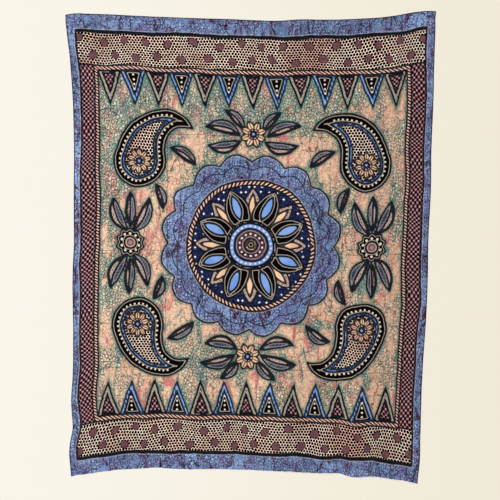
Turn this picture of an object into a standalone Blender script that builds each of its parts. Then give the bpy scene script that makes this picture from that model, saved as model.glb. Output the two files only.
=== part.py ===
"""Batik wall panel: one cut length of dyed cotton that hangs flat from its two top corners.

Metres, +Z up, +X to the viewer's right. The dyed front faces -Y and the wall is the plane y = 0.
The origin is the middle of the top edge, where the hanging is held up.
"""

from bisect import bisect_right
from collections import namedtuple
import math

import bmesh
import bpy

# The cloth and the grid of cells that its two faces are made of
CLOTH_THICKNESS = 0.0015
CELLS_ACROSS = 36
CELLS_DOWN = 46

# The cloth's stand-off from the wall where no fold lifts it
STAND_OFF = 0.002

# The four corners as they hang, measured from the middle of the top edge
Corner = namedtuple("Corner", "x z")
TOP_LEFT = Corner(x=-0.4595, z=0.0135)
TOP_RIGHT = Corner(x=0.4635, z=0.0220)
LOW_LEFT = Corner(x=-0.4425, z=-1.1405)
LOW_RIGHT = Corner(x=0.4150, z=-1.1565)

# Each edge runs between two corners and bows out of the straight line by these offsets.
# The share goes from top to bottom or from left to right. A negative offset is a hollow.
EdgeRow = namedtuple("EdgeRow", "share offset")
LEFT_EDGE = [
    EdgeRow(0.000, 0.0000),
    EdgeRow(0.020, -0.0013),
    EdgeRow(0.050, -0.0046),
    EdgeRow(0.100, -0.0097),
    EdgeRow(0.190, -0.0146),
    EdgeRow(0.270, -0.0153),
    EdgeRow(0.420, -0.0121),
    EdgeRow(0.490, -0.0116),
    EdgeRow(0.550, -0.0075),
    EdgeRow(0.620, -0.0062),
    EdgeRow(0.680, -0.0065),
    EdgeRow(0.730, -0.0054),
    EdgeRow(0.780, -0.0038),
    EdgeRow(0.830, 0.0000),
    EdgeRow(0.860, -0.0013),
    EdgeRow(0.890, -0.0034),
    EdgeRow(0.920, 0.0028),
    EdgeRow(0.945, 0.0055),
    EdgeRow(0.970, 0.0036),
    EdgeRow(1.000, 0.0000),
]
RIGHT_EDGE = [
    EdgeRow(0.000, 0.0000),
    EdgeRow(0.020, -0.0020),
    EdgeRow(0.050, -0.0005),
    EdgeRow(0.080, 0.0004),
    EdgeRow(0.120, 0.0014),
    EdgeRow(0.180, 0.0037),
    EdgeRow(0.290, 0.0037),
    EdgeRow(0.380, 0.0066),
    EdgeRow(0.480, 0.0053),
    EdgeRow(0.560, 0.0078),
    EdgeRow(0.650, 0.0079),
    EdgeRow(0.740, 0.0048),
    EdgeRow(0.820, 0.0038),
    EdgeRow(0.900, 0.0044),
    EdgeRow(0.950, 0.0050),
    EdgeRow(0.980, 0.0018),
    EdgeRow(1.000, 0.0000),
]
TOP_EDGE = [
    EdgeRow(0.000, 0.0000),
    EdgeRow(0.020, 0.0026),
    EdgeRow(0.040, 0.0039),
    EdgeRow(0.080, 0.0032),
    EdgeRow(0.150, 0.0002),
    EdgeRow(0.250, -0.0054),
    EdgeRow(0.360, -0.0108),
    EdgeRow(0.430, -0.0130),
    EdgeRow(0.500, -0.0166),
    EdgeRow(0.570, -0.0190),
    EdgeRow(0.640, -0.0160),
    EdgeRow(0.700, -0.0176),
    EdgeRow(0.760, -0.0168),
    EdgeRow(0.830, -0.0139),
    EdgeRow(0.890, -0.0082),
    EdgeRow(0.930, -0.0023),
    EdgeRow(0.950, 0.0003),
    EdgeRow(0.980, 0.0014),
    EdgeRow(1.000, 0.0000),
]
LOW_EDGE = [
    EdgeRow(0.000, 0.0000),
    EdgeRow(0.020, -0.0038),
    EdgeRow(0.040, -0.0070),
    EdgeRow(0.080, -0.0155),
    EdgeRow(0.110, -0.0192),
    EdgeRow(0.160, -0.0231),
    EdgeRow(0.210, -0.0253),
    EdgeRow(0.250, -0.0274),
    EdgeRow(0.290, -0.0259),
    EdgeRow(0.370, -0.0267),
    EdgeRow(0.450, -0.0266),
    EdgeRow(0.550, -0.0255),
    EdgeRow(0.620, -0.0248),
    EdgeRow(0.680, -0.0222),
    EdgeRow(0.720, -0.0205),
    EdgeRow(0.770, -0.0220),
    EdgeRow(0.810, -0.0145),
    EdgeRow(0.870, -0.0164),
    EdgeRow(0.910, -0.0113),
    EdgeRow(0.940, -0.0082),
    EdgeRow(0.970, -0.0042),
    EdgeRow(1.000, 0.0000),
]

# Soft folds: each is a ridge between a high and a low end, with its rise off the wall at both.
Fold = namedtuple("Fold", "high_x high_z low_x low_z half_width high_rise low_rise")
FOLDS = [
    # Tension folds that fan out of the two held top corners and run out in the cloth
    Fold(-0.45, 0.00, -0.18, -0.42, 0.050, 0.0090, 0.0000),
    Fold(-0.46, -0.02, -0.40, -0.46, 0.030, 0.0070, 0.0000),
    Fold(0.45, 0.00, 0.19, -0.44, 0.055, 0.0100, 0.0000),
    Fold(0.46, -0.02, 0.38, -0.36, 0.028, 0.0080, 0.0000),
    # The slack top edge leans off the wall between the corners
    Fold(-0.16, 0.00, 0.26, -0.01, 0.060, 0.0045, 0.0060),
    # Waves that start below the fan and deepen towards the lower edge
    Fold(-0.33, -0.30, -0.35, -1.12, 0.070, 0.0000, 0.0120),
    Fold(-0.12, -0.20, -0.14, -1.14, 0.065, 0.0000, 0.0100),
    Fold(0.10, -0.26, 0.08, -1.14, 0.065, 0.0000, 0.0120),
    Fold(0.30, -0.34, 0.27, -1.13, 0.060, 0.0000, 0.0130),
    # The free lower corners stand off the wall, the left one most
    Fold(-0.44, -0.85, -0.45, -1.16, 0.060, 0.0000, 0.0200),
    Fold(0.42, -0.90, 0.42, -1.18, 0.055, 0.0000, 0.0180),
]


def clear_scene():
    """Removes whatever the scene starts with."""
    for item in list(bpy.data.objects):
        bpy.data.objects.remove(item)


def edge_slope(rows, index):
    """Slope of an edge's curve at one of its rows."""
    before = rows[max(index - 1, 0)]
    after = rows[min(index + 1, len(rows) - 1)]
    return (after.offset - before.offset) / (after.share - before.share)


def edge_offset(rows, share):
    """Offset of an edge at a share of its length, on a smooth curve through its rows."""
    index = min(bisect_right([row.share for row in rows], share), len(rows) - 1) - 1
    start, end = rows[index], rows[index + 1]
    span = end.share - start.share
    way = (share - start.share) / span
    blend = way * way * (3.0 - 2.0 * way)
    leaving = span * edge_slope(rows, index) * way * (1.0 - way) ** 2
    arriving = span * edge_slope(rows, index + 1) * way * way * (1.0 - way)
    return start.offset + (end.offset - start.offset) * blend + leaving - arriving


def between(first, second, share):
    """Point at a share of the way from one corner to another."""
    return first.x + (second.x - first.x) * share, first.z + (second.z - first.z) * share


def outline_point(across, down):
    """Place (x, z) of a share across and down the cloth, blended from its four edges."""
    top_x, top_z = between(TOP_LEFT, TOP_RIGHT, across)
    low_x, low_z = between(LOW_LEFT, LOW_RIGHT, across)
    sideways = across * edge_offset(RIGHT_EDGE, down) - (1.0 - across) * edge_offset(LEFT_EDGE, down)
    upwards = (1.0 - down) * edge_offset(TOP_EDGE, across) - down * edge_offset(LOW_EDGE, across)
    x = top_x + (low_x - top_x) * down + sideways
    z = top_z + (low_z - top_z) * down + upwards
    return x, z


def fold_rise(fold, x, z):
    """How far one fold lifts the cloth at a place."""
    run_x, run_z = fold.low_x - fold.high_x, fold.low_z - fold.high_z
    away_x, away_z = x - fold.high_x, z - fold.high_z
    way = (away_x * run_x + away_z * run_z) / (run_x * run_x + run_z * run_z)
    way = min(max(way, 0.0), 1.0)
    distance = math.hypot(away_x - way * run_x, away_z - way * run_z)
    rise = fold.high_rise + (fold.low_rise - fold.high_rise) * way
    return rise * math.exp(-((distance / fold.half_width) ** 2))


def cloth_depth(x, z):
    """Distance of the cloth's back from the wall at a place."""
    return STAND_OFF + sum(fold_rise(fold, x, z) for fold in FOLDS)


def grid_of_points(mesh, lift):
    """Adds one face's grid of vertices, lifted off the cloth's back, as rows from the top down."""
    rows = []
    for down in range(CELLS_DOWN + 1):
        row = []
        for across in range(CELLS_ACROSS + 1):
            x, z = outline_point(across / CELLS_ACROSS, down / CELLS_DOWN)
            row.append(mesh.verts.new((x, -cloth_depth(x, z) - lift, z)))
        rows.append(row)
    return rows


def add_cells(mesh, rows, faces_back):
    """Fills a grid of vertices with two triangles a cell."""
    for upper, lower in zip(rows, rows[1:]):
        for i in range(CELLS_ACROSS):
            corners = [upper[i], lower[i], lower[i + 1], upper[i + 1]]
            if faces_back:
                corners.reverse()
            mesh.faces.new((corners[0], corners[1], corners[2]))
            mesh.faces.new((corners[0], corners[2], corners[3]))


def rim_of(rows):
    """The vertices round a grid, in order."""
    right_side = [row[-1] for row in rows[1:-1]]
    left_side = [row[0] for row in reversed(rows[1:-1])]
    return rows[0] + right_side + rows[-1][::-1] + left_side


def add_rim(mesh, front, back):
    """Closes the cut edge between the cloth's two faces."""
    front_rim, back_rim = rim_of(front), rim_of(back)
    for i, vertex in enumerate(front_rim):
        following = (i + 1) % len(front_rim)
        mesh.faces.new((vertex, front_rim[following], back_rim[following]))
        mesh.faces.new((vertex, back_rim[following], back_rim[i]))


def cotton_material():
    """Dyed cotton, in the mean colour of the panel."""
    material = bpy.data.materials.new("dyed_cotton")
    material.use_nodes = True
    shader = material.node_tree.nodes["Principled BSDF"]
    shader.inputs["Base Color"].default_value = (0.24, 0.17, 0.16, 1.0)
    shader.inputs["Roughness"].default_value = 0.85
    shader.inputs["Metallic"].default_value = 0.0
    return material


def build_panel():
    """The whole hanging, as one closed sheet with its cut edges."""
    mesh = bmesh.new()
    back = grid_of_points(mesh, 0.0)
    front = grid_of_points(mesh, CLOTH_THICKNESS)
    add_cells(mesh, front, faces_back=False)
    add_cells(mesh, back, faces_back=True)
    add_rim(mesh, front, back)
    data = bpy.data.meshes.new("panel")
    mesh.to_mesh(data)
    mesh.free()
    data.shade_smooth()
    data.set_sharp_from_angle(angle=math.radians(40.0))
    data.materials.append(cotton_material())
    panel = bpy.data.objects.new("panel", data)
    bpy.context.scene.collection.objects.link(panel)
    return panel


clear_scene()
build_panel()
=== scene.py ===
"""Looks of the batik wall panel: its cloth, its drawn and dyed design, the light and the camera.

Metres. The cloth hangs in the plane y = 0 with its dyed front towards -Y, as the frame has it.
The design is a generic one: bands, a round medallion, paisleys, sprigs and rows of triangles.
"""

from collections import namedtuple
from functools import partial, reduce
import math

import bpy
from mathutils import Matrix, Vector
import numpy as np


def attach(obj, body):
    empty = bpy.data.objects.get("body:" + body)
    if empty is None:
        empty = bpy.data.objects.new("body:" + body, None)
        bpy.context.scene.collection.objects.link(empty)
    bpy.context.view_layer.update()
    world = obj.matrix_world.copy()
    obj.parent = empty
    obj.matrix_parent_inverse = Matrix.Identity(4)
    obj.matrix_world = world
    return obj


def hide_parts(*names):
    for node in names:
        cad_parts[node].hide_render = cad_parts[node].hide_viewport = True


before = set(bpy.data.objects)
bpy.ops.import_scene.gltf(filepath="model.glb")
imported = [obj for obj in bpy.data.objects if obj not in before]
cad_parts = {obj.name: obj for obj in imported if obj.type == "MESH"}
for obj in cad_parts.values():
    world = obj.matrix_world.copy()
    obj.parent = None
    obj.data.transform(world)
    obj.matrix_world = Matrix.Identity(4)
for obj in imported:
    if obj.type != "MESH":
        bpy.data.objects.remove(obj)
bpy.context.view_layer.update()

# The flat cut of the cloth, and the hung sheet's cells on its front and its back
CUT_WIDTH = 0.915
CUT_LENGTH = 1.145
SHEET_THICKNESS = 0.0008
SOLID_THICKNESS = 0.0015
FRONT_CELLS = (231, 291)
BACK_CELLS = (154, 194)
STAND_OFF = 0.002

# The corners as they hang, the bow of each edge and the main folds are the solid's own
Corner = namedtuple("Corner", "x z")
TOP_LEFT = Corner(x=-0.4595, z=0.0135)
TOP_RIGHT = Corner(x=0.4635, z=0.022)
LOW_LEFT = Corner(x=-0.4425, z=-1.1405)
LOW_RIGHT = Corner(x=0.415, z=-1.1565)

# Each row: share of the edge from its top or left end, and its offset out of the straight line
LEFT_EDGE = [
    (0.0, 0.0), (0.02, -0.0013), (0.05, -0.0046), (0.1, -0.0097), (0.19, -0.0146),
    (0.27, -0.0153), (0.42, -0.0121), (0.49, -0.0116), (0.55, -0.0075), (0.62, -0.0062),
    (0.68, -0.0065), (0.73, -0.0054), (0.78, -0.0038), (0.83, 0.0), (0.86, -0.0013),
    (0.89, -0.0034), (0.92, 0.0028), (0.945, 0.0055), (0.97, 0.0036), (1.0, 0.0),
]
RIGHT_EDGE = [
    (0.0, 0.0), (0.02, -0.002), (0.05, -0.0005), (0.08, 0.0004), (0.12, 0.0014),
    (0.18, 0.0037), (0.29, 0.0037), (0.38, 0.0066), (0.48, 0.0053), (0.56, 0.0078), (0.65, 0.0079),
    (0.74, 0.0048), (0.82, 0.0038), (0.9, 0.0044), (0.95, 0.005), (0.98, 0.0018), (1.0, 0.0),
]
TOP_EDGE = [
    (0.0, 0.0), (0.02, 0.0026), (0.04, 0.0039), (0.08, 0.0032), (0.15, 0.0002), (0.25, -0.0054),
    (0.36, -0.0108), (0.43, -0.013), (0.5, -0.0166), (0.57, -0.019), (0.64, -0.016),
    (0.7, -0.0176), (0.76, -0.0168), (0.83, -0.0139), (0.89, -0.0082), (0.93, -0.0023),
    (0.95, 0.0003), (0.98, 0.0014), (1.0, 0.0),
]
LOW_EDGE = [
    (0.0, 0.0), (0.02, -0.0038), (0.04, -0.007), (0.08, -0.0155), (0.11, -0.0192),
    (0.16, -0.0231), (0.21, -0.0253), (0.25, -0.0274), (0.29, -0.0259), (0.37, -0.0267),
    (0.45, -0.0266), (0.55, -0.0255), (0.62, -0.0248), (0.68, -0.0222), (0.72, -0.0205),
    (0.77, -0.022), (0.81, -0.0145), (0.87, -0.0164), (0.91, -0.0113), (0.94, -0.0082),
    (0.97, -0.0042), (1.0, 0.0),
]

# Ridges between a high and a low end, with their rise at both
Fold = namedtuple("Fold", "high_x high_z low_x low_z half_width high_rise low_rise")
FOLDS = [
    # The solid's own: tension folds, the slack top edge, four waves and the free lower corners
    Fold(-0.45, 0.0, -0.18, -0.42, 0.05, 0.009, 0.0),
    Fold(-0.46, -0.02, -0.4, -0.46, 0.03, 0.007, 0.0),
    Fold(0.45, 0.0, 0.19, -0.44, 0.055, 0.01, 0.0),
    Fold(0.46, -0.02, 0.38, -0.36, 0.028, 0.008, 0.0),
    Fold(-0.16, 0.0, 0.26, -0.01, 0.06, 0.0045, 0.006),
    Fold(-0.33, -0.3, -0.35, -1.12, 0.07, 0.0, 0.012),
    Fold(-0.12, -0.2, -0.14, -1.14, 0.065, 0.0, 0.01),
    Fold(0.1, -0.26, 0.08, -1.14, 0.065, 0.0, 0.012),
    Fold(0.3, -0.34, 0.27, -1.13, 0.06, 0.0, 0.013),
    Fold(-0.44, -0.85, -0.45, -1.16, 0.06, 0.0, 0.02),
    Fold(0.42, -0.9, 0.42, -1.18, 0.055, 0.0, 0.018),
    # Fine tension creases at the two held corners
    Fold(0.445, 0.012, 0.405, -0.03, 0.008, 0.0022, 0.0),
    Fold(0.42, -0.14, 0.4, -0.165, 0.007, 0.0012, 0.0008),
    Fold(0.455, -0.01, 0.33, -0.21, 0.01, 0.0018, 0.0),
    Fold(0.44, 0.005, 0.25, -0.07, 0.011, 0.0014, 0.0),
    Fold(-0.452, -0.005, -0.345, -0.16, 0.01, 0.0016, 0.0),
    Fold(-0.44, 0.005, -0.27, -0.05, 0.011, 0.0012, 0.0),
]

# Creases of the folded cloth in storage: where they run, as shares, and how high they stand
UPRIGHT_CREASES = [(0.262, 0.0007), (0.528, 0.001), (0.757, 0.0009)]
LEVEL_CREASES = [(0.258, 0.0006), (0.517, 0.0009), (0.774, 0.0006)]
CREASE_HALF_WIDTH = 0.0045

# The free lower edge leans off the wall, and the cut edges ripple
LOW_CURL_RISE = 0.003
LOW_CURL_REACH = 0.02
RIPPLE_RISE = 0.0009
RIPPLE_REACH = 0.03
RIPPLE_LENGTH = 0.055

# Small unevenness of the hung cloth: how high it stands, the length of its waves and their seed
CRUMPLES = [(0.0007, 0.11, 33), (0.00035, 0.035, 34)]


# Geometry of the hung sheet


def edge_curve(rows, share):
    """Offset of an edge at each share of its length, on a smooth curve through its rows."""
    shares, offsets = np.array(rows).T
    slopes = np.empty_like(offsets)
    slopes[1:-1] = (offsets[2:] - offsets[:-2]) / (shares[2:] - shares[:-2])
    slopes[0] = (offsets[1] - offsets[0]) / (shares[1] - shares[0])
    slopes[-1] = (offsets[-1] - offsets[-2]) / (shares[-1] - shares[-2])
    index = np.clip(np.searchsorted(shares, share, side="right") - 1, 0, len(rows) - 2)
    span = shares[index + 1] - shares[index]
    way = (share - shares[index]) / span
    blend = way * way * (3.0 - 2.0 * way)
    leaving = span * slopes[index] * way * (1.0 - way) ** 2
    arriving = span * slopes[index + 1] * way * way * (1.0 - way)
    return offsets[index] + (offsets[index + 1] - offsets[index]) * blend + leaving - arriving


def waves(x, y, length, seed, count=9):
    """Smooth unevenness, mostly from -1 to 1, as a sum of waves of about one length."""
    dice = np.random.default_rng(seed)
    total = np.zeros_like(x)
    for _ in range(count):
        heading = dice.uniform(0.0, math.tau)
        pitch = length * dice.uniform(0.7, 1.5)
        phase = dice.uniform(0.0, math.tau)
        total += np.sin(math.tau * (x * math.cos(heading) + y * math.sin(heading)) / pitch + phase)
    return total / math.sqrt(count * 2.0)


def outline_points(across, down):
    """Place (x, z) of each share across and down the cloth, blended from its four edges."""
    top_x = TOP_LEFT.x + (TOP_RIGHT.x - TOP_LEFT.x) * across
    top_z = TOP_LEFT.z + (TOP_RIGHT.z - TOP_LEFT.z) * across
    low_x = LOW_LEFT.x + (LOW_RIGHT.x - LOW_LEFT.x) * across
    low_z = LOW_LEFT.z + (LOW_RIGHT.z - LOW_LEFT.z) * across
    sideways = across * edge_curve(RIGHT_EDGE, down) - (1.0 - across) * edge_curve(LEFT_EDGE, down)
    upwards = (1.0 - down) * edge_curve(TOP_EDGE, across) - down * edge_curve(LOW_EDGE, across)
    return top_x + (low_x - top_x) * down + sideways, top_z + (low_z - top_z) * down + upwards


def fold_rise(fold, x, z):
    """How far one fold lifts the cloth at each place."""
    run_x, run_z = fold.low_x - fold.high_x, fold.low_z - fold.high_z
    away_x, away_z = x - fold.high_x, z - fold.high_z
    way = np.clip((away_x * run_x + away_z * run_z) / (run_x**2 + run_z**2), 0.0, 1.0)
    distance = np.hypot(away_x - way * run_x, away_z - way * run_z)
    rise = fold.high_rise + (fold.low_rise - fold.high_rise) * way
    return rise * np.exp(-((distance / fold.half_width) ** 2))


def crease_rise(across, down, x, z):
    """Low, slightly wandering ridges where the cloth was folded away."""
    wander = 0.0012 * waves(x, z, 0.16, seed=31)
    fade = 0.62 + 0.38 * waves(x, z, 0.3, seed=32)
    rise = np.zeros_like(x)
    kinds = ((UPRIGHT_CREASES, across, CUT_WIDTH), (LEVEL_CREASES, down, CUT_LENGTH))
    for creases, place, side in kinds:
        for share, height in creases:
            gap = (place - share) * side + wander
            rise += height * fade * np.exp(-((gap / CREASE_HALF_WIDTH) ** 2))
    return rise


def sheet_depth(across, down, x, z):
    """Distance of the cloth's front from the wall at each place."""
    depth = STAND_OFF + SOLID_THICKNESS + sum(fold_rise(fold, x, z) for fold in FOLDS)
    depth += crease_rise(across, down, x, z)
    for rise, length, seed in CRUMPLES:
        depth += rise * waves(x, z, length, seed)
    from_low = (1.0 - down) * CUT_LENGTH
    depth += LOW_CURL_RISE * np.exp(-((from_low / LOW_CURL_REACH) ** 2))
    from_side = np.minimum(across, 1.0 - across) * CUT_WIDTH
    from_rim = np.minimum(from_side, np.minimum(down, 1.0 - down) * CUT_LENGTH)
    depth += RIPPLE_RISE * waves(x, z, RIPPLE_LENGTH, seed=35) * np.exp(-from_rim / RIPPLE_REACH)
    return np.maximum(depth, STAND_OFF + SHEET_THICKNESS)


def grid_shares(cells):
    """Shares across and down of a grid's points, in rows from the top."""
    columns, rows = [np.linspace(0.0, 1.0, count + 1) for count in cells]
    down, across = np.meshgrid(rows, columns, indexing="ij")
    return across, down


def grid_quads(index, faces_back):
    """Quads over a grid of vertex numbers, wound to face the front or the back."""
    corners = [index[:-1, :-1], index[1:, :-1], index[1:, 1:], index[:-1, 1:]]
    if faces_back:
        corners.reverse()
    return np.stack([c.ravel() for c in corners], axis=1)


def rim_numbers(index):
    """Vertex numbers round a grid, in order."""
    return np.concatenate([index[0, :-1], index[:-1, -1], index[-1, :0:-1], index[:0:-1, 0]])


def rim_faces(front, back):
    """Faces that close the cut edge. The front's rim has three steps to every two of the back's."""
    front, back = front + front[:1], back + back[:1]
    faces = []
    for i in range(len(back) // 2):
        f, b = front[3 * i:3 * i + 4], back[2 * i:2 * i + 3]
        faces += [(f[0], f[1], b[0]), (f[1], b[1], b[0]), (f[1], f[2], b[1])]
        faces += [(f[2], b[2], b[1]), (f[2], f[3], b[2])]
    return faces


# The drawn design


# The inks, a distance beyond all lines, and the repeats along ropes, beads, discs and veins
INKS = [
    "indigo", "dotted", "maroon", "rope", "azure", "night",
    "dark", "plum", "petal", "leaf", "mauve",
]
FAR = 0.5
ROPE_PITCH = 0.0092
BEAD_PITCH = 0.0112
DISC_PITCH = 0.058
VEIN_PITCH = 0.0085

# Distances of the bands' inner borders from the cut edges
END_BLUE, END_RULE, END_DOTTED, END_ROPE = 0.042, 0.0465, 0.128, 0.14
SIDE_BLUE, SIDE_NET, SIDE_ROPE = 0.02, 0.056, 0.066

# Rows of discs on the dotted bands: distance from the end, and shift along in pitches
DISC_ROWS = [(0.066, 0.0), (0.104, 0.5)]

# The medallion's radii, and where its petals start
ROUND, ROUND_LINE, ROUND_ROPE, ROUND_NIGHT, PETAL_FOOT = 0.212, 0.19, 0.166, 0.154, 0.034

# How far hand-drawn lines stray, and the length of the waves in which they do
HAND_WAVES = [(0.0024, 0.15), (0.0007, 0.035)]


class Lines:
    """Drawn lines: each place's count along its nearest line, its side of it and how far off it is."""

    def __init__(self, like):
        self.along = np.zeros_like(like)
        self.side = np.full_like(like, FAR)
        self.gap = np.full_like(like, FAR)

    def add(self, side, within=-FAR, along=0.0):
        """Adds a line where side is zero and within negative, with one dot for each unit along."""
        gap = np.maximum(np.abs(side), within)
        nearer = gap < self.gap
        self.along = np.where(nearer, along, self.along)
        self.side = np.where(nearer, side, self.side)
        self.gap = np.where(nearer, gap, self.gap)

    def cover(self, area):
        """Hides the lines under an area that is painted over them."""
        self.gap = np.maximum(self.gap, -area)


def strayed(line, x, y, seeds):
    """A coordinate as a hand would draw it, a little off the true one."""
    for (stray, length), seed in zip(HAND_WAVES, seeds):
        line = line + stray * waves(x, y, length, seed)
    return line


class Drawing:
    """The design over the cloth's points: each ink's signed distance, and the lines drawn on it."""

    def __init__(self, cut_x, cut_y):
        self.x = strayed(cut_x, cut_x, cut_y, seeds=(1, 2))
        self.y = strayed(cut_y, cut_x, cut_y, seeds=(3, 4))
        self.inks = {ink: np.full_like(cut_x, FAR) for ink in INKS}
        self.strokes, self.beads, self.discs = Lines(cut_x), Lines(cut_x), Lines(cut_x)
        self.vein = np.zeros_like(cut_x)

    def paint(self, ink, area):
        """Lays an ink over what is there, where the area's distance is negative."""
        for name in INKS:
            self.inks[name] = np.maximum(self.inks[name], -area)
        self.inks[ink] = np.minimum(self.inks[ink], area)
        for lines in (self.strokes, self.beads, self.discs):
            lines.cover(area)

    def veins(self, phase, area):
        """Gives an area its own hatching phase, and a little of its surroundings too."""
        self.vein = np.where(area < 0.004, phase, self.vein)

    def clear_of_motifs(self):
        """Distance from the nearest ink, for the dye that seeps into the ground."""
        return np.minimum.reduce(list(self.inks.values()))


def wrapped(value, pitch):
    """A coordinate that repeats, from minus to plus half a pitch."""
    return (value / pitch - np.floor(value / pitch) - 0.5) * pitch


def leaf_frame(x, y, base, tip, bend):
    """Places along a leaf from its middle and across it, with its midrib bent to one side."""
    run = np.array(tip) - np.array(base)
    half = float(np.hypot(*run)) / 2.0
    ux, uy = run / (2.0 * half)
    away_x, away_y = x - (base[0] + tip[0]) / 2.0, y - (base[1] + tip[1]) / 2.0
    along, across = away_x * ux + away_y * uy, away_y * ux - away_x * uy
    share = np.clip(along / half, -1.3, 1.3)
    return along, across - bend * (1.0 - share * share), half


def pointed_area(along, across, half_length, half_width):
    """Signed distance of a leaf or petal with two pointed ends."""
    radius = (half_length**2 + half_width**2) / (2.0 * half_width)
    return np.hypot(along, np.abs(across) + radius - half_width) - radius


def draw_leaf(drawing, x, y, base, tip, half_width, bend):
    """One leaf: two hatched halves that a dark midrib parts."""
    along, across, half = leaf_frame(x, y, base, tip, bend)
    area = pointed_area(along, across, half, half_width)
    drawing.paint("leaf", area)
    drawing.paint("mauve", np.maximum(area + 0.003, across + 0.0008))
    drawing.veins((along + 0.7 * np.abs(across)) / VEIN_PITCH, area)


def round_frame(x, y, centre=(0.0, 0.0)):
    """Distance from a round motif's middle, and the angle about it."""
    away_x, away_y = x - centre[0], y - centre[1]
    return np.hypot(away_x, away_y), np.arctan2(away_y, away_x)


def draw_flower(drawing, x, y, centre, petals, reach, heart):
    """A round flower with a ring of pointed petals and a disc at its heart."""
    distance, angle = round_frame(x, y, centre)
    sector = math.tau / petals
    turn = wrapped(angle, sector)
    along, across = distance * np.cos(turn), distance * np.sin(turn)
    foot = 0.6 * heart
    half = (reach - foot) / 2.0
    half_width = 0.92 * (reach + heart) / 2.0 * math.sin(sector / 2.0)
    area = pointed_area(along - (foot + half), across, half, half_width)
    drawing.paint("dark", distance - 0.62 * reach)
    drawing.paint("petal", area)
    drawing.strokes.add(across, area + 0.0055)
    drawing.paint("plum", distance - heart)
    drawing.paint("azure", distance - 0.5 * heart)


def dotted_flower(drawing, x, y, centre, dots, reach, heart):
    """A dark round flower with a ring of pale dots about a mauve heart."""
    distance, angle = round_frame(x, y, centre)
    lobe = wrapped(angle, math.tau / dots)
    drawing.paint("dark", distance - reach - 0.003 * np.cos(lobe * dots))
    drawing.beads.add((distance - 0.68 * reach) * 0.8, along=angle / math.tau * dots)
    drawing.paint("mauve", distance - heart)
    drawing.veins(distance / 0.0075, distance - heart)


def bands(drawing):
    """Crackled, dotted and roped bands at both ends, and narrow ones down both sides."""
    from_side = CUT_WIDTH / 2.0 - np.abs(drawing.x)
    from_end = CUT_LENGTH / 2.0 - np.abs(drawing.y)
    rope = np.minimum(from_side - SIDE_ROPE, from_end - END_ROPE)
    drawing.paint("rope", rope)
    drawing.veins((drawing.x * 0.8 + drawing.y * 1.25) / ROPE_PITCH, rope)
    drawing.paint("maroon", from_side - SIDE_NET)
    drawing.paint("dotted", from_end - END_DOTTED)
    drawing.paint("dark", from_end - END_RULE)
    drawing.paint("indigo", np.minimum(from_side - SIDE_BLUE, from_end - END_BLUE))
    for row, shift in DISC_ROWS:
        along = drawing.x / DISC_PITCH + shift + 0.14 * np.sin(drawing.x * 21.0)
        side = from_end - row - 0.005 * np.sin(drawing.x * 47.0 + row * 90.0)
        drawing.discs.add(side, SIDE_BLUE + 0.012 - from_side, along)


def end_triangles(drawing):
    """Rows of tall nested triangles that rise from both roped bands into the field."""
    pitch, height = 0.1205, 0.084
    up = CUT_LENGTH / 2.0 - END_ROPE - np.abs(drawing.y)
    slope = math.hypot(height, pitch / 4.0)
    limit = np.abs(drawing.x) - (CUT_WIDTH / 2.0 - SIDE_ROPE - 0.001)
    kinds = [
        # shift, outer, core, border, beaded
        (0.0, "azure", "dark", 0.0078, True),
        (0.5, "dark", "maroon", 0.0104, False),
    ]
    for shift, outer, core, border, beaded in kinds:
        x = wrapped(drawing.x + shift * pitch, pitch)
        flank = (np.abs(x) * height + up * pitch / 4.0 - height * pitch / 4.0) / slope
        area = np.maximum(np.maximum(flank, -up), limit)
        drawing.paint(outer, area)
        drawing.paint(core, np.maximum(np.maximum(flank + border, border - 0.0038 - up), limit))
        if beaded:
            within = np.maximum(np.maximum(flank + 0.015, 0.012 - up), limit)
            drawing.beads.add(x, within, up / BEAD_PITCH - 0.6)


def medallion(drawing):
    """A scalloped blue round with rings of petals about a plum heart."""
    distance, angle = round_frame(drawing.x, np.abs(drawing.y))
    scallop = np.cos(wrapped(angle, math.tau / 16.0) * 8.0)
    drawing.paint("indigo", distance - ROUND - 0.02 * scallop)
    drawing.strokes.add(distance - ROUND_LINE - 0.014 * scallop)
    drawing.paint("rope", distance - ROUND_ROPE)
    drawing.veins(angle / math.tau * 96.0 + distance / 0.013, distance - ROUND_ROPE)
    drawing.paint("night", distance - ROUND_NIGHT)
    sector = math.tau / 8.0
    petals = [
        # shift, ink, inner, reach, half_width
        (0.5, "mauve", "petal", 0.148, 0.023),
        (0.0, "dark", "azure", 0.15, 0.03),
    ]
    for shift, ink, inner, reach, half_width in petals:
        turn = wrapped(angle + shift * sector, sector)
        along, across = distance * np.cos(turn), distance * np.sin(turn)
        half = (reach - PETAL_FOOT) / 2.0
        middle = PETAL_FOOT + half
        area = pointed_area(along - middle, across, half, half_width)
        drawing.paint(ink, area)
        drawing.veins(along / VEIN_PITCH, area)
        core = pointed_area(along - middle - 0.01, across, half - 0.026, half_width * 0.36)
        drawing.paint(inner, core)
    for ink, radius in (("dark", 0.062), ("azure", 0.055), ("plum", 0.042)):
        drawing.paint(ink, distance - radius)
    for dots, radius in ((26.0, 0.0485), (14.0, 0.028)):
        drawing.beads.add(distance - radius, along=angle / math.tau * dots)
    for ink, radius in (("petal", 0.015), ("dark", 0.0085)):
        drawing.paint(ink, distance - radius)


def paisley_spine(head, radius, heading, turning, length, steps=60):
    """Middles and radii of the discs that shrink along a paisley's curling spine from its head."""
    places, radii = [np.array(head)], []
    for i in range(steps):
        share = i / (steps - 1)
        radii.append(max(radius * (1.0 - share) ** 0.9 * (1.0 + 0.25 * share), 0.0012))
        direction = heading + turning * share**1.4
        ahead = np.array([math.cos(direction), math.sin(direction)])
        places.append(places[-1] + length / steps * ahead)
    return np.array(places[:-1]), np.array(radii)


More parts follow.
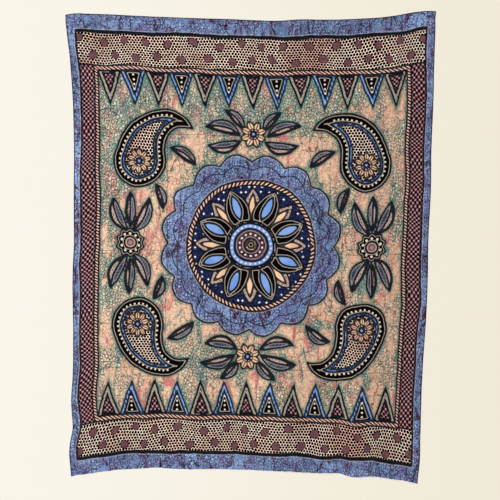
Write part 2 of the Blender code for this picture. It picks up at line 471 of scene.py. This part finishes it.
def paisley_area(x, y, places, radii):
    """Signed distance of the discs along a paisley's spine."""
    area = np.full_like(x, FAR)
    for place, radius in zip(places, radii):
        area = np.minimum(area, np.hypot(x - place[0], y - place[1]) - radius)
    return area


def inset_route(places, radii, inset, narrowest=0.009):
    """Points of a line inside a paisley's edge, from near its tip round the head and back again."""
    inner = radii - inset
    runs = np.gradient(places, axis=0)
    headings = np.arctan2(runs[:, 1], runs[:, 0])
    lean = np.arccos(-np.gradient(inner) / np.hypot(runs[:, 0], runs[:, 1]))
    wide = np.nonzero(inner > narrowest)[0]

    def touching(numbers, angles):
        outward = np.stack([np.cos(angles), np.sin(angles)], axis=1)
        return places[numbers] + inner[numbers, None] * outward

    inbound = wide[::-1]
    back = np.linspace(headings[0] + lean[0], headings[0] - lean[0] + math.tau, 50)
    return np.concatenate([
        touching(inbound, headings[inbound] + lean[inbound]),
        touching(np.zeros(len(back), int), back),
        touching(wide, headings[wide] - lean[wide]),
    ])


def along_route(x, y, route):
    """Share of a route's length at its point nearest to each place, and that length."""
    along, nearest, done = np.zeros_like(x), np.full_like(x, FAR), 0.0
    for start, end in zip(route, route[1:]):
        run = end - start
        length = max(float(np.hypot(*run)), 1e-6)
        away_x, away_y = x - start[0], y - start[1]
        way = np.clip((away_x * run[0] + away_y * run[1]) / length**2, 0.0, 1.0)
        gap = np.hypot(away_x - way * run[0], away_y - way * run[1])
        along = np.where(gap < nearest, done + way * length, along)
        nearest = np.minimum(nearest, gap)
        done += length
    return along / done, done


def paisleys(drawing, x, y):
    """A dark paisley in each quarter, with a dotted middle and a rosette in its head."""
    head, radius, bead_inset = (0.29, 0.206), 0.066, 0.0145
    places, radii = paisley_spine(head, radius, math.radians(96.0), math.radians(128.0), 0.205)
    area = paisley_area(x, y, places, radii)
    drawing.paint("dark", area)
    share, length = along_route(x, y, inset_route(places, radii, bead_inset))
    drawing.beads.add(area + bead_inset, along=share * round(length / BEAD_PITCH))
    drawing.paint("azure", area + 0.0215)
    drawing.paint("dotted", area + 0.028)
    draw_flower(drawing, x, y, head, 10, 0.034, 0.012)


def sprigs(drawing, x, y):
    """Leafy sprigs at the sides and between the medallion and the end rows."""
    rows = [
        # base_x, base_y, tip_x, tip_y, half_width, bend
        (0.306, 0.028, 0.262, 0.112, 0.016, 0.01),
        (0.318, 0.028, 0.36, 0.112, 0.016, -0.01),
        (0.311, 0.04, 0.312, 0.128, 0.013, 0.000),
        (0.03, 0.264, 0.116, 0.252, 0.015, -0.012),
        (0.034, 0.278, 0.122, 0.302, 0.015, 0.01),
        (0.024, 0.292, 0.07, 0.34, 0.0125, 0.006),
        (0.226, 0.084, 0.246, 0.146, 0.0115, 0.006),
        (0.146, 0.2, 0.212, 0.24, 0.013, 0.008),
    ]
    for base_x, base_y, tip_x, tip_y, half_width, bend in rows:
        draw_leaf(drawing, x, y, (base_x, base_y), (tip_x, tip_y), half_width, bend)
    dotted_flower(drawing, x, y, (0.311, 0.0), 10, 0.034, 0.015)
    draw_flower(drawing, x, y, (0.0, 0.283), 8, 0.034, 0.012)


def draw_design(cut_x, cut_y):
    """The whole design over the cloth's points."""
    drawing = Drawing(cut_x, cut_y)
    bands(drawing)
    end_triangles(drawing)
    medallion(drawing)
    quarter_x, quarter_y = np.abs(drawing.x), np.abs(drawing.y)
    sprigs(drawing, quarter_x, quarter_y)
    paisleys(drawing, quarter_x, quarter_y)
    return drawing


# Making the mesh


def add_vector(mesh, name, *parts):
    """Stores up to three numbers a point as one named vector."""
    data = np.zeros((len(mesh.vertices), 3), np.float32)
    for i, part in enumerate(parts):
        data[:, i] = part
    mesh.attributes.new(name, "FLOAT_VECTOR", "POINT").data.foreach_set("vector", data.ravel())


def add_flat_coordinates(mesh, shares, margin=0.002):
    """Lays the whole cloth out flat for the bake, inside a small margin."""
    layer = mesh.uv_layers.new(name="OFBake")
    corner = np.empty(len(mesh.loops), np.int32)
    mesh.loops.foreach_get("vertex_index", corner)
    flat = np.stack([shares[:, 0], 1.0 - shares[:, 1]], axis=1) * (1.0 - 2.0 * margin) + margin
    layer.uv.foreach_set("vector", flat[corner].astype(np.float32).ravel())


def make_cloth():
    """The hung cloth as one thin closed sheet that carries its drawn design."""
    points, shares, numbers, start = [], [], [], 0
    for cells, lift in ((BACK_CELLS, SHEET_THICKNESS), (FRONT_CELLS, 0.0)):
        across, down = grid_shares(cells)
        x, z = outline_points(across, down)
        y = lift - sheet_depth(across, down, x, z)
        points.append(np.stack([x, y, z], axis=-1).reshape(-1, 3))
        shares.append(np.stack([across, down], axis=-1).reshape(-1, 2))
        numbers.append(start + np.arange(across.size).reshape(across.shape))
        start += across.size
    points, shares = np.concatenate(points), np.concatenate(shares)
    faces = grid_quads(numbers[0], faces_back=True).tolist()
    faces += rim_faces(rim_numbers(numbers[1]).tolist(), rim_numbers(numbers[0]).tolist())
    faces += grid_quads(numbers[1], faces_back=False).tolist()
    mesh = bpy.data.meshes.new("batik_cloth")
    mesh.from_pydata(points.tolist(), [], faces)
    mesh.shade_smooth()
    mesh.set_sharp_from_angle(angle=math.radians(50.0))

    cut_x, cut_y = (shares[:, 0] - 0.5) * CUT_WIDTH, (0.5 - shares[:, 1]) * CUT_LENGTH
    drawing = draw_design(cut_x, cut_y)
    add_vector(mesh, "place", cut_x, cut_y)
    add_vector(mesh, "drawn", drawing.x, drawing.y, drawing.clear_of_motifs())
    for i in range(0, len(INKS), 3):
        add_vector(mesh, f"inks_{i // 3}", *[drawing.inks[ink] for ink in INKS[i:i + 3]])
    add_vector(mesh, "stroke", drawing.strokes.side, drawing.strokes.gap, drawing.vein)
    for name, dots in (("beads", drawing.beads), ("discs", drawing.discs)):
        add_vector(mesh, name, dots.along, dots.side, dots.gap)
    add_flat_coordinates(mesh, shares)
    cloth = bpy.data.objects.new("batik_cloth", mesh)
    bpy.context.scene.collection.objects.link(cloth)
    return cloth


# Building materials from nodes


def colour(red, green, blue):
    """A display colour from 0 to 255, as the linear colour that shaders take."""
    shares = [part / 255 for part in (red, green, blue)]
    linear = [c / 12.92 if c <= 0.04045 else ((c + 0.055) / 1.055) ** 2.4 for c in shares]
    return (*linear, 1.0)


class Number:
    """A number of the material's nodes, so that formulas read as plain sums."""

    def __init__(self, graph, socket):
        self.graph, self.socket = graph, socket

    def __add__(self, other):
        return self.graph.math("ADD", self, other)

    def __sub__(self, other):
        return self.graph.math("SUBTRACT", self, other)

    def __rsub__(self, other):
        return self.graph.math("SUBTRACT", other, self)

    def __mul__(self, other):
        return self.graph.math("MULTIPLY", self, other)

    def __truediv__(self, other):
        return self.graph.math("DIVIDE", self, other)

    def __abs__(self):
        return self.graph.math("ABSOLUTE", self)

    __radd__, __rmul__ = __add__, __mul__

    def wrapped(self):
        """The number as it repeats with every whole one, from -0.5 to 0.5."""
        return self.graph.math("FRACT", self) - 0.5

    def step(self, start, end, low=0.0, high=1.0):
        """Goes softly from low to high as the number goes from start to end."""
        node = self.graph.tree.nodes.new("ShaderNodeMapRange")
        node.interpolation_type = "SMOOTHSTEP"
        for socket, number in zip(node.inputs, (self, start, end, low, high)):
            self.graph.put(socket, number)
        return Number(self.graph, node.outputs["Result"])


class Graph:
    """Adds nodes to one material and joins them."""

    def __init__(self, tree):
        self.tree = tree

    def put(self, socket, value):
        """Joins a number or socket to an input, or sets the input's own value."""
        if isinstance(value, Number):
            value = value.socket
        if isinstance(value, bpy.types.NodeSocket):
            self.tree.links.new(value, socket)
        else:
            socket.default_value = value

    def math(self, operation, *values):
        """One operation on one or two numbers."""
        node = self.tree.nodes.new("ShaderNodeMath")
        node.operation = operation
        for socket, value in zip(node.inputs, values):
            self.put(socket, value)
        return Number(self, node.outputs[0])

    def lowest(self, *values):
        """The smallest of several numbers."""
        return reduce(partial(self.math, "MINIMUM"), values)

    def highest(self, *values):
        """The largest of several numbers."""
        return reduce(partial(self.math, "MAXIMUM"), values)

    def length(self, first, second):
        """The length of two numbers at a right angle."""
        return self.math("SQRT", first * first + second * second)

    def split(self, vector):
        """The three numbers of a vector."""
        node = self.tree.nodes.new("ShaderNodeSeparateXYZ")
        self.put(node.inputs[0], vector)
        return [Number(self, s) for s in node.outputs]

    def join(self, x, y):
        """A flat vector of two numbers."""
        node = self.tree.nodes.new("ShaderNodeCombineXYZ")
        for socket, value in zip(node.inputs, (x, y)):
            self.put(socket, value)
        return node.outputs[0]

    def attribute(self, name):
        """A vector that the mesh carries."""
        node = self.tree.nodes.new("ShaderNodeAttribute")
        node.attribute_name = name
        return node.outputs["Vector"]

    def noise(self, vector, size, detail=2.0, rough=0.5, warp=0.0, stretch=(1.0, 1.0), shift=0.0):
        """Soft noise from about 0 to 1, with features of about a size in metres."""
        mapping = self.tree.nodes.new("ShaderNodeMapping")
        scale = [1.0 / side / size for side in stretch]
        mapping.inputs["Scale"].default_value = (*scale, 1.0)
        mapping.inputs["Location"].default_value = (shift, shift * 0.7, 0.0)
        self.put(mapping.inputs["Vector"], vector)
        node = self.tree.nodes.new("ShaderNodeTexNoise")
        node.noise_dimensions = "2D"
        self.put(node.inputs["Vector"], mapping.outputs[0])
        traits = {"Scale": 1.0, "Detail": detail, "Roughness": rough, "Distortion": warp}
        for name, number in traits.items():
            node.inputs[name].default_value = number
        return Number(self, node.outputs["Fac"])

    def cells(self, vector, size, feature):
        """A pattern of random cells of about a size in metres, measured in cell widths."""
        node = self.tree.nodes.new("ShaderNodeTexVoronoi")
        node.voronoi_dimensions, node.feature = "2D", feature
        node.inputs["Scale"].default_value = 1.0
        self.put(node.inputs["Vector"], self.scaled(vector, 1.0 / size))
        return node

    def cell_borders(self, vector, size):
        """Distance from the borders between random cells."""
        return Number(self, self.cells(vector, size, "DISTANCE_TO_EDGE").outputs["Distance"])

    def stars(self, vector, size, random, exponent):
        """Distance from the middles of random cells, in a measure that makes four-pointed stars."""
        node = self.cells(vector, size, "F1")
        node.distance = "MINKOWSKI"
        node.inputs["Exponent"].default_value = exponent
        node.inputs["Randomness"].default_value = random
        return Number(self, node.outputs["Distance"])

    def scaled(self, vector, factor):
        """A vector or a colour times a factor."""
        node = self.tree.nodes.new("ShaderNodeVectorMath")
        node.operation = "SCALE"
        self.put(node.inputs[0], vector)
        self.put(node.inputs["Scale"], factor)
        return node.outputs[0]

    def blend(self, share, first, second):
        """A colour between two colours."""
        node = self.tree.nodes.new("ShaderNodeMix")
        node.data_type, node.clamp_factor = "RGBA", True
        self.put(node.inputs[0], share)
        self.put(node.inputs[6], first)
        self.put(node.inputs[7], second)
        return node.outputs[2]


class Ground:
    """The coordinates and shared unevenness that every ink of the cloth uses."""

    def __init__(self, graph):
        self.graph, self.place = graph, graph.attribute("place")
        self.cut_x, self.cut_y, _ = graph.split(self.place)
        drawn_x, drawn_y, self.clear = graph.split(graph.attribute("drawn"))
        self.shake = (self.noise(0.01, detail=1.0, shift=3.1) - 0.5) * 0.0016
        self.x = drawn_x + self.shake
        self.y = drawn_y + (self.noise(0.01, detail=1.0, shift=9.4) - 0.5) * 0.0016
        self.wide = self.noise(0.18, detail=3.0, shift=1.7)
        self.middle = self.noise(0.05, detail=3.0, warp=0.6, shift=5.3)
        self.fine = self.noise(0.0065, rough=0.6, shift=2.2)
        self.grain = self.noise(0.003, detail=1.0, shift=7.7)

    def noise(self, size, **traits):
        """Soft noise over the flat cloth."""
        return self.graph.noise(self.place, size, **traits)


def bent_place(graph, ground, size, shift, upright, bend=1.2):
    """The cloth's own coordinates, bent by noise so that cells over them look torn and not cut."""
    wander = (ground.noise(size * 0.9, detail=3.0, shift=shift) - 0.5) * size * bend
    wander_up = (ground.noise(size * 0.9, detail=3.0, shift=shift + 4.0) - 0.5) * size * bend
    return graph.join(ground.cut_x + wander, ground.cut_y / upright + wander_up)


def crackle(graph, ground, size, width, shift, upright=1.25, bend=1.2):
    """Branching fine veins where the wax cracked, strong in some places and faint in others."""
    edge = graph.cell_borders(bent_place(graph, ground, size, shift, upright, bend), size)
    patchy = ground.noise(size * 2.6, shift=shift + 8.0).step(0.38, 0.62)
    return edge.step(width, width * 0.3) * (0.2 + 0.8 * patchy)


def grainy_net(graph, ground, size, zone, tone, dark, pale, shift):
    """A close net of fine cracks round pale grains, where a zone is strong."""
    edge = graph.cell_borders(bent_place(graph, ground, size, shift, 1.15), size)
    tone = graph.blend(edge.step(0.2, 0.42) * zone * 0.75, tone, pale)
    return graph.blend(edge.step(0.2, 0.05) * (0.22 + 0.68 * zone), tone, dark)


def field_colour(graph, ground):
    """Peach ground with teal seep, rose stains, crackle and pale grains, strongest at the top."""
    high = (ground.cut_y - ground.cut_x * 0.5 + (ground.wide - 0.5) * 0.5).step(0.05, 0.45)
    # The field goes darker and warmer towards the right: partly dye tone, partly painted shade of the
    # light falling off to the right.
    warm = (ground.cut_x + (ground.wide - 0.5) * 0.3).step(0.0, 0.4)
    salmon = ground.noise(0.04, detail=3.0, rough=0.55, warp=0.5, shift=61.0)
    tone = graph.blend(ground.middle.step(0.35, 0.7), colour(238, 196, 168), colour(220, 194, 166))
    tone = graph.blend(salmon.step(0.52, 0.68) * 0.7, tone, colour(228, 168, 150))
    tone = graph.blend(warm * 0.6, tone, colour(208, 164, 136))
    streaks = ground.noise(0.06, detail=5.0, rough=0.62, warp=0.4, stretch=(0.75, 1.5), shift=11.0)
    zone = (streaks + (ground.wide - 0.5) * 0.8 + high * 0.1).step(0.44, 0.6)
    tone = graph.blend(zone * 0.55, tone, colour(168, 164, 144))
    teal = ground.noise(0.065, detail=5.0, rough=0.6, warp=0.6, stretch=(0.75, 1.4), shift=71.0)
    teal_share = (teal + (zone - 0.5) * 0.06 + high * 0.15).step(0.52, 0.62)
    tone = graph.blend(teal_share * 0.85, tone, colour(88, 146, 130))
    tone = graph.blend((teal + high * 0.08).step(0.58, 0.7) * 0.85, tone, colour(44, 108, 120))
    rose = ground.noise(0.06, detail=4.0, rough=0.6, warp=1.0, stretch=(0.6, 1.5), shift=23.0)
    blush = (rose + high * 0.04 + (ground.fine - 0.5) * 0.06).step(0.55, 0.69)
    tone = graph.blend(blush * 0.85, tone, colour(194, 98, 108))
    busy = graph.lowest(zone + teal_share * 0.6, 1.0)
    tone = grainy_net(graph, ground, 0.0068, busy, tone, colour(62, 72, 66), colour(232, 224, 206), 6.0)
    tone = graph.blend(crackle(graph, ground, 0.024, 0.07, 1.0, 1.7) * 0.85, tone, colour(60, 60, 54))
    tone = graph.blend(crackle(graph, ground, 0.015, 0.08, 37.0, 1.4) * 0.55, tone, colour(86, 80, 68))
    flecks = ground.grain.step(0.62, 0.72) * (0.15 + 0.6 * busy)
    tone = graph.blend(flecks, tone, colour(236, 226, 206))
    specks = ground.fine.step(0.6, 0.74) * (0.25 + 0.5 * busy)
    tone = graph.blend(specks, tone, colour(58, 74, 70))
    tint = ground.noise(0.0085, rough=0.6, shift=67.0)
    tone = graph.blend(tint.step(0.48, 0.66) * 0.35, tone, colour(196, 128, 100))
    mottle = ground.noise(0.0046, rough=0.7, shift=33.0)
    tone = graph.scaled(tone, 0.84 + mottle.step(0.3, 0.7) * 0.3)
    near_ink = (ground.clear + (ground.middle - 0.5) * 0.012).step(0.01, 0.001)
    return graph.blend(near_ink * (0.35 + ground.fine * 0.7), tone, colour(44, 104, 100))


def indigo_colour(graph, ground):
    """Periwinkle ground with dark cracks, pale grains, violet clouds and maroon blots."""
    tone = graph.blend(ground.middle.step(0.35, 0.65), colour(130, 158, 206), colour(102, 120, 170))
    clouds = ground.noise(0.034, detail=5.0, rough=0.65, warp=0.8, shift=41.0)
    tone = graph.blend(clouds.step(0.47, 0.62) * 0.7, tone, colour(98, 88, 138))
    tone = graph.blend(clouds.step(0.46, 0.36) * 0.55, tone, colour(106, 142, 172))
    zone = ground.noise(0.035, detail=3.0, shift=47.0).step(0.36, 0.58)
    tone = grainy_net(graph, ground, 0.0064, zone, tone, colour(48, 52, 86), colour(164, 184, 218), 18.0)
    tone = graph.blend(crackle(graph, ground, 0.03, 0.07, 14.0) * 0.9, tone, colour(24, 20, 44))
    upright = crackle(graph, ground, 0.03, 0.06, 27.0, 7.0, 0.15)
    level = crackle(graph, ground, 0.18, 0.01, 29.0, 0.14, 0.03)
    tone = graph.blend(graph.highest(upright, level) * 0.85, tone, colour(26, 20, 44))
    tone = graph.blend(ground.grain.step(0.62, 0.72) * 0.6, tone, colour(190, 206, 232))
    tone = graph.blend(ground.fine.step(0.58, 0.72) * 0.7, tone, colour(36, 36, 64))
    blots = ground.noise(0.036, detail=6.0, rough=0.74, warp=1.0, stretch=(0.7, 1.3), shift=53.0)
    tone = graph.blend(blots.step(0.55, 0.63) * 0.85, tone, colour(80, 28, 52))
    tone = graph.blend(blots.step(0.62, 0.68) * 0.9, tone, colour(22, 6, 16))
    return graph.scaled(tone, 1.07 - ground.wide.step(0.36, 0.62) * 0.28)


def staggered(graph, x, y, pitch, tall, shifts, flatter=1.0):
    """Distance from the nearest point of a staggered lattice."""
    gaps = []
    for shift_x, shift_y in shifts:
        across = (x / pitch + shift_x).wrapped() * pitch
        up = (y / tall + shift_y).wrapped() * (tall * flatter)
        gaps.append(graph.length(across, up))
    return graph.lowest(*gaps)


def dotted_colour(graph, ground):
    """Cream ground packed with near-black dots in wandering staggered rows."""
    pitch = 0.0076
    bend_x = (ground.noise(0.15, detail=0.0, shift=81.0) - 0.5) * 0.018
    bend_y = (ground.noise(0.15, detail=0.0, shift=87.0) - 0.5) * 0.022
    x, y = ground.x + bend_x, ground.y + bend_y
    gap = staggered(graph, x, y, pitch, pitch * math.sqrt(3.0), ((0.0, 0.0), (0.5, 0.5)))
    gap = gap + (ground.fine - 0.5) * 0.0014
    cream = graph.blend(ground.middle.step(0.3, 0.7), colour(255, 240, 222), colour(250, 218, 200))
    cream = graph.blend(ground.wide.step(0.5, 0.66) * 0.6, cream, colour(216, 154, 140))
    return graph.blend(gap.step(0.0037, 0.0031), cream, colour(5, 1, 2))


def net_colour(graph, ground):
    """Mauve band with staggered near-black lozenges and pale pink stitches between them."""
    pitch, tall = 0.0112, 0.0125
    x = ground.x + (ground.middle - 0.5) * 0.006
    y = ground.y + (ground.noise(0.09, detail=1.0, shift=91.0) - 0.5) * 0.03
    dark = staggered(graph, x, y, pitch, tall, ((0.0, 0.0), (0.5, 0.5)), 0.75)
    pale = staggered(graph, x, y, pitch, tall, ((0.5, 0.0), (0.0, 0.5)))
    uneven = (ground.fine - 0.5) * 0.0022
    warm = ground.middle.step(0.35, 0.65)
    tone = graph.blend(warm, colour(114, 82, 88), colour(112, 72, 76))
    tone = graph.blend((pale + uneven).step(0.0026, 0.001), tone, colour(196, 158, 162))
    return graph.blend((dark + uneven).step(0.0037, 0.0022), tone, colour(18, 3, 6))


def rope_colour(graph, ground, phase):
    """Narrow slanting bars of cream and brown on a dark ground."""
    bars = abs(phase.wrapped()).step(0.24, 0.3)
    tone = graph.blend(bars, colour(20, 7, 9), colour(222, 182, 166))
    return graph.blend(ground.fine.step(0.55, 0.75) * 0.5, tone, colour(120, 80, 72))


def night_colour(graph, ground):
    """Dark navy with small four-pointed sparkles."""
    star = graph.stars(graph.join(ground.x, ground.y), 0.0185, random=0.5, exponent=0.55)
    tone = graph.blend(ground.fine.step(0.35, 0.65), colour(14, 20, 48), colour(34, 44, 84))
    return graph.blend(star.step(0.29, 0.21), tone, colour(236, 232, 226))


def veined(graph, phase, base, line, thick):
    """A fill crossed by fine veins along its own phase."""
    border = 0.5 - thick
    return graph.blend(abs(phase.wrapped()).step(border - 0.08, border + 0.02) * 0.85, base, line)


def ink_colours(graph, ground, vein):
    """The colour of every ink. Where one lies, no other does."""
    cloudy = ground.middle.step(0.35, 0.65)
    grey = graph.blend(cloudy, colour(58, 64, 82), colour(86, 94, 116))
    mauve = graph.blend(cloudy, colour(126, 94, 98), colour(156, 120, 116))
    plum = graph.blend(cloudy, colour(50, 30, 46), colour(78, 52, 70))
    return {
        "indigo": indigo_colour(graph, ground),
        "dotted": dotted_colour(graph, ground),
        "maroon": net_colour(graph, ground),
        "rope": rope_colour(graph, ground, vein),
        "azure": graph.blend(cloudy, colour(104, 146, 214), colour(128, 160, 216)),
        "night": night_colour(graph, ground),
        "dark": graph.blend(ground.fine, colour(3, 1, 2), colour(10, 6, 8)),
        "plum": graph.blend(ground.fine.step(0.5, 0.75) * 0.6, plum, colour(102, 76, 96)),
        "petal": graph.blend(cloudy, colour(232, 196, 160), colour(214, 172, 144)),
        "leaf": veined(graph, vein, grey, colour(22, 24, 40), 0.12),
        "mauve": veined(graph, vein, mauve, colour(52, 36, 44), 0.14),
    }


# The weave's pitch, wider than the real one so that it can show
THREAD_PITCH = 0.0011

# Inset of the thin pale contour inside each ink that has one, and how strongly it shows
CONTOURS = {
    "indigo": (0.0036, 0.3),
    "dark": (0.0036, 0.55),
    "plum": (0.006, 0.45),
    "leaf": (0.0036, 0.3),
    "mauve": (0.0036, 0.5),
}


def dot_distance(graph, name, pitch, slack):
    """Distance from the middle of the nearest dot of one kind."""
    along, side, gap = graph.split(graph.attribute(name))
    return graph.highest(graph.length(along.wrapped() * pitch, side), gap - slack)


def edges_of_cut(graph, ground, tone):
    """Undyed strip along the low edge, and dye that gathered along the other cut edges."""
    up = ground.cut_y + CUT_LENGTH / 2.0
    corner = ground.cut_x.step(-0.46, -0.35, 0.0042, 0.0) + ground.cut_x.step(0.38, 0.46, 0.0, 0.002)
    bare = (up - corner - (ground.middle - 0.5) * 0.005).step(0.0032, 0.0022)
    tone = graph.blend(bare * 0.95, tone, colour(232, 228, 220))
    sides = CUT_WIDTH / 2.0 - abs(ground.cut_x)
    rim = graph.lowest(sides, CUT_LENGTH / 2.0 - ground.cut_y)
    line = (rim + ground.shake).step(0.0032, 0.0016) * 0.9 * (1.0 - bare)
    return graph.blend(line, tone, colour(28, 26, 36)), bare


def crease_wear_and_shade(graph, ground, tone):
    """Faint lines where the cloth was folded away: a lighter worn band, with a darker middle line that
    is partly wear and partly painted shade of the crease.
    """
    wander = (ground.middle - 0.5) * 0.004
    share_x, share_y = ground.cut_x / CUT_WIDTH + 0.5, 0.5 - ground.cut_y / CUT_LENGTH
    gaps = [abs((share_x - share) * CUT_WIDTH + wander) for share, _ in UPRIGHT_CREASES]
    gaps += [abs((share_y - share) * CUT_LENGTH + wander) for share, _ in LEVEL_CREASES]
    near = graph.lowest(*gaps)
    # Painted shade: the dark middle line stands in for the shade in the crease, together with some wear.
    wear_and_shade = near.step(0.0034, 0.0018) * 0.14 - near.step(0.0016, 0.0006) * 0.6
    return graph.scaled(tone, 1.0 + wear_and_shade), near


def batik_material():
    """Plain-weave cotton with the drawn, waxed and dyed design."""
    material = bpy.data.materials.new("batik_cotton")
    material.use_nodes = True
    graph = Graph(material.node_tree)
    ground = Ground(graph)
    inks = {}
    for i in range(0, len(INKS), 3):
        parts = graph.split(graph.attribute(f"inks_{i // 3}"))
        inks.update({ink: part + ground.shake for ink, part in zip(INKS[i:i + 3], parts)})
    side, gap, vein = graph.split(graph.attribute("stroke"))

    tone = field_colour(graph, ground)
    for ink, fill in ink_colours(graph, ground, vein).items():
        tone = graph.blend(inks[ink].step(0.0005, -0.0005), tone, fill)
    for ink, (inset, strength) in CONTOURS.items():
        line = abs(inks[ink] + inset).step(0.0013, 0.0005) * strength
        tone = graph.blend(line, tone, colour(206, 194, 178))

    uneven = (ground.fine - 0.5) * 0.0012
    outline = graph.lowest(*[abs(inks[ink]) for ink in INKS]) + uneven
    tone = graph.blend(outline.step(0.0027, 0.0016) * 0.95, tone, colour(18, 20, 28))

    on_light = graph.lowest(inks["indigo"], inks["azure"], inks["petal"])
    line = (graph.highest(abs(side), gap - 0.0028) + uneven).step(0.0017, 0.0009)
    line_tone = graph.blend(on_light.step(0.0005, -0.0005), colour(214, 200, 184), colour(20, 18, 34))
    tone = graph.blend(line * 0.9, tone, line_tone)

    bead = dot_distance(graph, "beads", BEAD_PITCH, 0.0028) + uneven
    tone = graph.blend(bead.step(0.003, 0.002) * 0.9, tone, colour(226, 214, 196))
    disc = dot_distance(graph, "discs", DISC_PITCH, 0.0005) + uneven
    mauve = graph.blend(ground.fine.step(0.35, 0.65), colour(114, 78, 82), colour(92, 60, 68))
    mauve = graph.blend(abs(disc - 0.004).step(0.0012, 0.0004) * 0.45, mauve, colour(58, 34, 42))
    tone = graph.blend(disc.step(0.0112, 0.0104), tone, colour(20, 8, 12))
    tone = graph.blend(disc.step(0.0094, 0.0084), tone, mauve)

    tone, crease = crease_wear_and_shade(graph, ground, tone)
    tone, bare = edges_of_cut(graph, ground, tone)

    warp, weft = [abs((cut / THREAD_PITCH).wrapped()) for cut in (ground.cut_x, ground.cut_y)]
    threads = warp + weft
    # Painted light and shade of the weave: the colour is lighter where the thread relief stands higher
    # and darker where it is low.
    tone = graph.scaled(tone, 0.9 + threads * 0.2)
    shader = material.node_tree.nodes["Principled BSDF"]
    graph.put(shader.inputs["Base Color"], tone)
    graph.put(shader.inputs["Roughness"], 0.78 + ground.middle * 0.16 + bare * 0.05)
    shader.inputs["Specular IOR Level"].default_value = 0.02

    height = threads * 0.0001 + ground.fine * 0.00025 + crease.step(0.003, 0.0) * 0.0004
    bump = material.node_tree.nodes.new("ShaderNodeBump")
    bump.inputs["Strength"].default_value = 0.55
    bump.inputs["Distance"].default_value = 1.0
    graph.put(bump.inputs["Height"], height)
    graph.put(shader.inputs["Normal"], bump.outputs[0])
    return material


# Stage, light and camera


# Heights of the studio floor and of the cloth's middle, and the lamps' tone
FLOOR_HEIGHT = -2.0
MIDDLE_HEIGHT = -0.57
WARM_LIGHT = (1.0, 0.98, 0.95)


def plain_material(name, tone):
    """A matt studio surface with a slight unevenness."""
    material = bpy.data.materials.new(name)
    material.use_nodes = True
    graph = Graph(material.node_tree)
    place = graph.tree.nodes.new("ShaderNodeTexCoord").outputs["Object"]
    shader = material.node_tree.nodes["Principled BSDF"]
    darker = tuple(c * 0.94 for c in tone[:3]) + (1.0,)
    uneven = graph.noise(place, 0.9, detail=3.0)
    graph.put(shader.inputs["Base Color"], graph.blend(uneven, tone, darker))
    shader.inputs["Roughness"].default_value = 0.9
    return material


def make_floor():
    """A pale round floor well below the hanging, as under a picture on a wall."""
    bpy.ops.mesh.primitive_circle_add(
        vertices=96, radius=3.5, fill_type="NGON", location=(0.0, 0.0, FLOOR_HEIGHT)
    )
    floor = bpy.context.object
    floor.name = "floor"
    floor.data.materials.append(plain_material("floor_paint", colour(240, 236, 228)))


def make_world():
    """A pale, slightly warm surround that also fills the shadows. As the camera sees it, it carries a
    painted falloff of the light: lighter on the left, darker and warmer on the right.
    """
    world = bpy.data.worlds.new("pale_surround")
    bpy.context.scene.world = world
    world.use_nodes = True
    tree = world.node_tree
    graph = Graph(tree)
    heading = graph.split(tree.nodes.new("ShaderNodeTexCoord").outputs["Generated"])[0]
    seen = tree.nodes["Background"]
    # Painted light on the backdrop: lighter on the left, on the lamp's side, and darker to the right.
    across = heading.step(-0.22, 0.22)
    graph.put(seen.inputs["Color"], graph.blend(across, colour(249, 245, 234), colour(241, 234, 217)))
    fill = tree.nodes.new("ShaderNodeBackground")
    fill.inputs["Color"].default_value = colour(246, 245, 244)
    fill.inputs["Strength"].default_value = 0.68
    path = tree.nodes.new("ShaderNodeLightPath")
    mix = tree.nodes.new("ShaderNodeMixShader")
    tree.links.new(path.outputs["Is Camera Ray"], mix.inputs[0])
    tree.links.new(fill.outputs[0], mix.inputs[1])
    tree.links.new(seen.outputs[0], mix.inputs[2])
    tree.links.new(mix.outputs[0], tree.nodes["World Output"].inputs["Surface"])


def add_light(name, place, size, power):
    """A soft square lamp that points at the middle of the cloth."""
    data = bpy.data.lights.new(name, "AREA")
    data.size, data.energy, data.color = size, power, WARM_LIGHT
    lamp = bpy.data.objects.new(name, data)
    lamp.location = place
    ahead = Vector((0.0, 0.0, MIDDLE_HEIGHT)) - Vector(place)
    lamp.rotation_euler = ahead.to_track_quat("-Z", "Y").to_euler()
    bpy.context.scene.collection.objects.link(lamp)


def make_camera():
    """Square on to the hanging, with the photograph's framing."""
    view_width, lens, sensor, height = 1.25, 85.0, 36.0, -0.572
    data = bpy.data.cameras.new("camera")
    data.lens, data.sensor_width = lens, sensor
    camera = bpy.data.objects.new("camera", data)
    camera.location = (0.0, -view_width * lens / sensor, height)
    camera.rotation_euler = (math.radians(90.0), 0.0, 0.0)
    bpy.context.scene.collection.objects.link(camera)
    bpy.context.scene.camera = camera


cloth = make_cloth()
cloth.data.materials.append(batik_material())
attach(cloth, "root")
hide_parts("panel")

make_floor()
make_world()
add_light("window_side", (-2.3, -2.2, 0.3), size=1.6, power=86.0)
add_light("back_fill", (1.6, 2.4, 0.4), size=1.8, power=30.0)
make_camera()
bpy.context.scene.view_settings.view_transform = "Standard"
